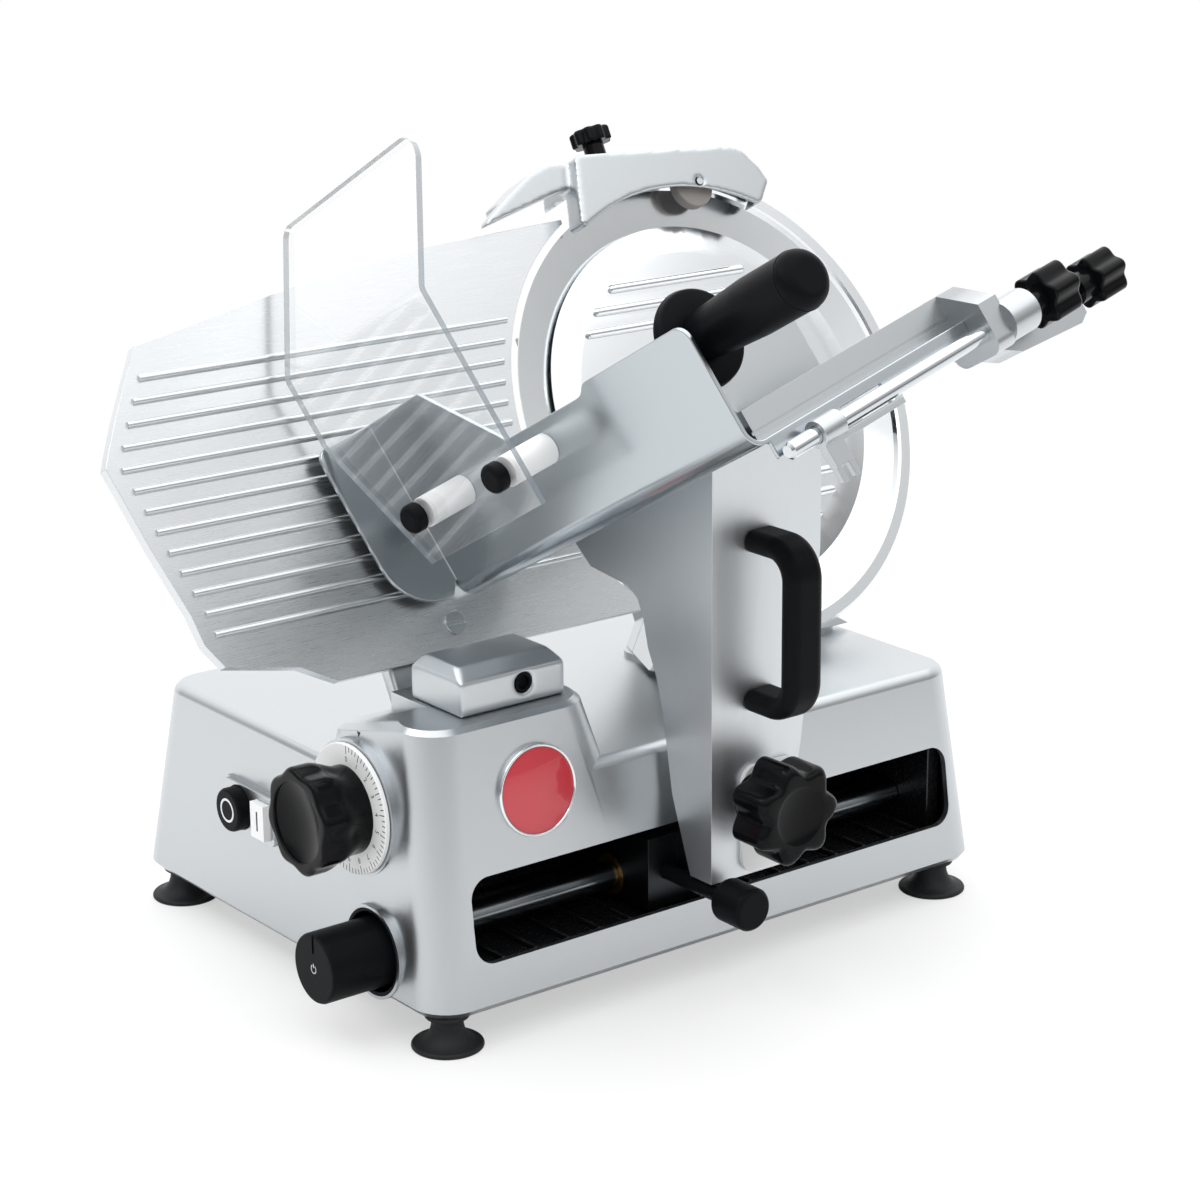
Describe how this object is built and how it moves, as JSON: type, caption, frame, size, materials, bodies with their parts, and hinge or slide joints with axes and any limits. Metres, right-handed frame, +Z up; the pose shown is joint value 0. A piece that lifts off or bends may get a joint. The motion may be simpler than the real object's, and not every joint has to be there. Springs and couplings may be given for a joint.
{
  "type": "electric food slicer",
  "caption": "Gravity feed food slicer: tilted round blade, sliding carriage with food tray and pusher, ribbed gauge plate set by a dial, sharpener on top.",
  "frame": {"origin": "on the floor under the middle of the whole outline at rest", "axes": "+X along the carriage stroke to the right as the operator stands, +Y away from the operator, +Z up"},
  "size_m": [0.6082, 0.5236, 0.5192],
  "materials": {
    "cast_aluminium": "fine ground and anodised",
    "satin_steel": "satin brushed stainless sheet",
    "polished_steel": "polished stainless",
    "black_plastic": "moulded, lightly textured",
    "white_plastic": "moulded, smooth",
    "clear_acrylic": "clear bent sheet",
    "black_rubber": "moulded",
    "chamber_plastic": "moulded",
    "dark_iron": "machined, dark",
    "bronze": "machined",
    "abrasive": "gritty abrasive",
    "red_enamel": "domed, glossy"
  },
  "bodies": {
    "base": {"base_pan": "cast_aluminium", "base_cover": "cast_aluminium", "suction_feet": "black_rubber", "chamber_liner": "chamber_plastic", "guide_rod": "polished_steel", "support_rail": "satin_steel", "badge": "red_enamel", "switch_plate": "satin_steel", "selector_cup": "black_plastic", "cord_gland": "black_plastic", "gauge_block": "cast_aluminium", "block_plug": "black_plastic", "drive_housing": "cast_aluminium", "belt_cover": "cast_aluminium", "shaft_bearings": "dark_iron", "motor_mount": "dark_iron", "motor": "dark_iron", "drive_belt": "black_rubber", "ring_guard": "cast_aluminium", "blade_cover": "polished_steel", "slice_deflector": "cast_aluminium"},
    "blade_unit": {"blade": "polished_steel", "blade_shaft": "polished_steel", "blade_pulley": "cast_aluminium"},
    "motor_rotor": {"motor_pulley": "cast_aluminium"},
    "cover_tie": {"tie_rod": "black_plastic"},
    "gauge": {"gauge_plate": "cast_aluminium", "gauge_arm": "cast_aluminium", "gauge_screw": "polished_steel"},
    "dial": {"dial_disc": "white_plastic", "dial_knob": "black_plastic", "dial_shaft": "dark_iron"},
    "start": {"start_button": "white_plastic"},
    "stop": {"stop_button": "black_plastic"},
    "selector": {"selector_knob": "black_plastic"},
    "carriage": {"carriage_slider": "dark_iron", "slider_bushes": "bronze", "carriage_leg": "satin_steel", "clamp_plate": "white_plastic", "d_handle": "black_plastic", "product_tray": "satin_steel", "guard_sheet": "clear_acrylic", "guard_standoffs": "white_plastic", "guard_caps": "black_plastic", "pusher_rod": "polished_steel", "rod_blocks": "cast_aluminium", "front_rail": "satin_steel"},
    "roller": {"support_roller": "black_plastic"},
    "star": {"star_knob": "black_plastic"},
    "coupling": {"coupling_pin": "black_plastic"},
    "pusher": {"pusher_plate": "cast_aluminium", "hand_guard": "black_plastic", "pusher_handle": "black_plastic"},
    "claw": {"cross_rod": "polished_steel", "product_claw": "satin_steel"},
    "clamp": {"clamp_knob": "black_plastic"},
    "sharpener": {"sharpener_hood": "cast_aluminium"},
    "sharp_knob": {"sharpener_knob": "black_plastic"},
    "stone_front": {"grinding_stone": "abrasive"},
    "stone_rear": {"deburring_stone": "abrasive"}
  },
  "joints": [
    {"name": "blade_spin", "type": "hinge", "parent": "base", "child": "blade_unit", "pos_m": [0.14065, 0.0857, 0.3072], "axis": [0, -0.8799, 0.4752], "continuous": true},
    {"name": "motor_spin", "type": "hinge", "parent": "base", "child": "motor_rotor", "pos_m": [0.14065, 0.03751, 0.11274], "axis": [0, -0.8799, 0.4752], "continuous": true},
    {"name": "tie_turn", "type": "hinge", "parent": "base", "child": "cover_tie", "pos_m": [0.14065, 0.15609, 0.26919], "axis": [0, -0.8799, 0.4752], "continuous": true},
    {"name": "dial_turn", "type": "hinge", "parent": "base", "child": "dial", "pos_m": [-0.22815, -0.0012, 0.131], "axis": [-1, 0, 0], "range_deg": [0, 300]},
    {"name": "gauge_slide", "type": "slide", "parent": "base", "child": "gauge", "axis": [0, 0.8799, -0.4752], "range_m": [0, 0.015]},
    {"name": "start_push", "type": "slide", "parent": "base", "child": "start", "axis": [1, 0, 0], "range_m": [0, 0.0035], "stiffness_N_per_m": 600},
    {"name": "stop_push", "type": "slide", "parent": "base", "child": "stop", "axis": [1, 0, 0], "range_m": [0, 0.0035], "stiffness_N_per_m": 600},
    {"name": "selector_turn", "type": "hinge", "parent": "base", "child": "selector", "pos_m": [-0.22815, -0.0242, 0.048], "axis": [-1, 0, 0], "range_deg": [0, 90]},
    {"name": "carriage_slide", "type": "slide", "parent": "base", "child": "carriage", "axis": [1, 0, 0], "range_m": [-0.138, 0.15]},
    {"name": "roller_spin", "type": "hinge", "parent": "carriage", "child": "roller", "pos_m": [-0.00415, -0.0052, 0.0633], "axis": [0, 1, 0], "continuous": true},
    {"name": "star_turn", "type": "hinge", "parent": "carriage", "child": "star", "pos_m": [-0.00115, -0.1512, 0.125], "axis": [0, -1, 0], "continuous": true},
    {"name": "coupling_pull", "type": "slide", "parent": "carriage", "child": "coupling", "axis": [0, -1, 0], "range_m": [0, 0.012]},
    {"name": "pusher_slide", "type": "slide", "parent": "carriage", "child": "pusher", "axis": [0, 0.8799, -0.4752], "range_m": [0, 0.184]},
    {"name": "claw_swing", "type": "hinge", "parent": "carriage", "child": "claw", "pos_m": [0.00055, -0.2336, 0.39359], "axis": [-0.9659, -0.123, -0.2277], "range_deg": [0, 75]},
    {"name": "clamp_turn", "type": "hinge", "parent": "carriage", "child": "clamp", "pos_m": [0.1958, -0.18188, 0.4157], "axis": [0.9659, 0.123, 0.2277], "continuous": true},
    {"name": "sharpener_lift", "type": "slide", "parent": "base", "child": "sharpener", "axis": [0, 0.4752, 0.8799], "range_m": [0, 0.01]},
    {"name": "sharp_knob_turn", "type": "hinge", "parent": "sharpener", "child": "sharp_knob", "pos_m": [0.11465, 0.18038, 0.47201], "axis": [0, 0.4752, 0.8799], "continuous": true},
    {"name": "stone_front_spin", "type": "hinge", "parent": "sharpener", "child": "stone_front", "pos_m": [0.17065, 0.14627, 0.44042], "axis": [0, -0.8799, 0.4752], "continuous": true},
    {"name": "stone_rear_spin", "type": "hinge", "parent": "sharpener", "child": "stone_rear", "pos_m": [0.16265, 0.18432, 0.42669], "axis": [0, -0.8799, 0.4752], "continuous": true}
  ],
  "couplings": [
    {"joint": "motor_spin", "follows": "blade_spin", "ratio": 2.4444},
    {"joint": "dial_turn", "follows": "gauge_slide", "rad_per_m": 349.07},
    {"joint": "roller_spin", "follows": "carriage_slide", "rad_per_m": 90.909}
  ]
}
